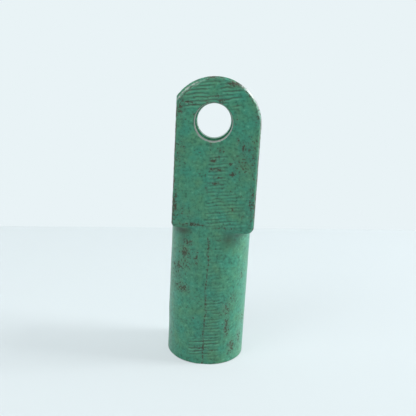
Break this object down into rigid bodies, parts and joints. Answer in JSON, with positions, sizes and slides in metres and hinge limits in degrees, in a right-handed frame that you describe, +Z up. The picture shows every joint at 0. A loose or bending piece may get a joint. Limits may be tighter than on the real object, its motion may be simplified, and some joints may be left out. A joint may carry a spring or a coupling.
{
  "type": "clevis rod end",
  "caption": "Forged clevis rod end: a square forked head with a cross pin bore on a round shank with a tapped hole for a rod.",
  "frame": {"origin": "centre of the shank's foot face, on the shank's axis", "axes": "+Z up the shank to the fork, +Y along the pin bore from the front ear to the back ear, +X to the right, along the slot"},
  "size_m": [0.0359, 0.0342, 0.1253],
  "materials": {
    "painted_steel": "sea-green enamel brushed on forged steel, semi-gloss, worn to rust along the edges"
  },
  "bodies": {
    "root": {"clevis_body": "painted_steel"}
  },
  "joints": []
}
